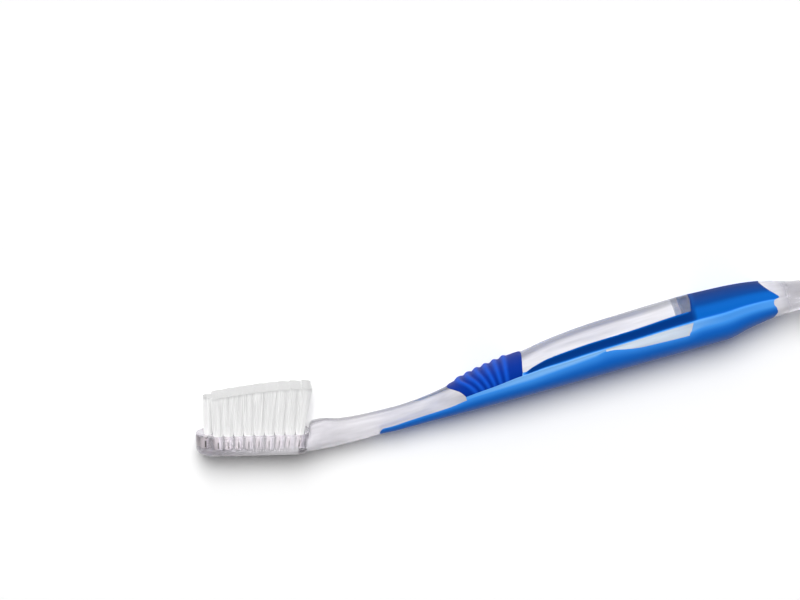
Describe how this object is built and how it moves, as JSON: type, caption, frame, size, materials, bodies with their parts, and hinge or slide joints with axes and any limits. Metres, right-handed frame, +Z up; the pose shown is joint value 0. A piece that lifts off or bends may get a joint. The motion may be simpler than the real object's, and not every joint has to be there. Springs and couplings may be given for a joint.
{
  "type": "manual toothbrush",
  "caption": "Manual toothbrush with a clear two-shot handle, a blue soft grip, a ribbed thumb pad and an angled head of nylon tufts.",
  "frame": {"origin": "at mid length and mid width, on the surface that the brush's back rests on", "axes": "+X runs from the head's tip to the tail's end, +Y across the brush, +Z up, the way the bristles point"},
  "size_m": [0.1886, 0.0144, 0.0207],
  "materials": {
    "clear_plastic": "clear, polished",
    "soft_blue": "satin",
    "soft_deep_blue": "satin",
    "nylon": "translucent filament",
    "anchor_metal": "bright"
  },
  "bodies": {
    "root": {"clear_body": "clear_plastic", "soft_grip": "soft_blue", "thumb_pad": "soft_deep_blue", "tuft_anchors": "anchor_metal", "tuft_01": "nylon", "tuft_02": "nylon", "tuft_03": "nylon", "tuft_04": "nylon", "tuft_05": "nylon", "tuft_06": "nylon", "tuft_07": "nylon", "tuft_08": "nylon", "tuft_09": "nylon", "tuft_10": "nylon", "tuft_11": "nylon", "tuft_12": "nylon", "tuft_13": "nylon", "tuft_14": "nylon", "tuft_15": "nylon", "tuft_16": "nylon", "tuft_17": "nylon", "tuft_18": "nylon", "tuft_19": "nylon", "tuft_20": "nylon", "tuft_21": "nylon", "tuft_22": "nylon", "tuft_23": "nylon", "tuft_24": "nylon", "tuft_25": "nylon", "tuft_26": "nylon", "tuft_27": "nylon", "tuft_28": "nylon", "tuft_29": "nylon", "tuft_30": "nylon", "tuft_31": "nylon", "tuft_32": "nylon", "tuft_33": "nylon", "tuft_34": "nylon", "tuft_35": "nylon", "tuft_36": "nylon", "tuft_37": "nylon", "tuft_38": "nylon"}
  },
  "joints": []
}
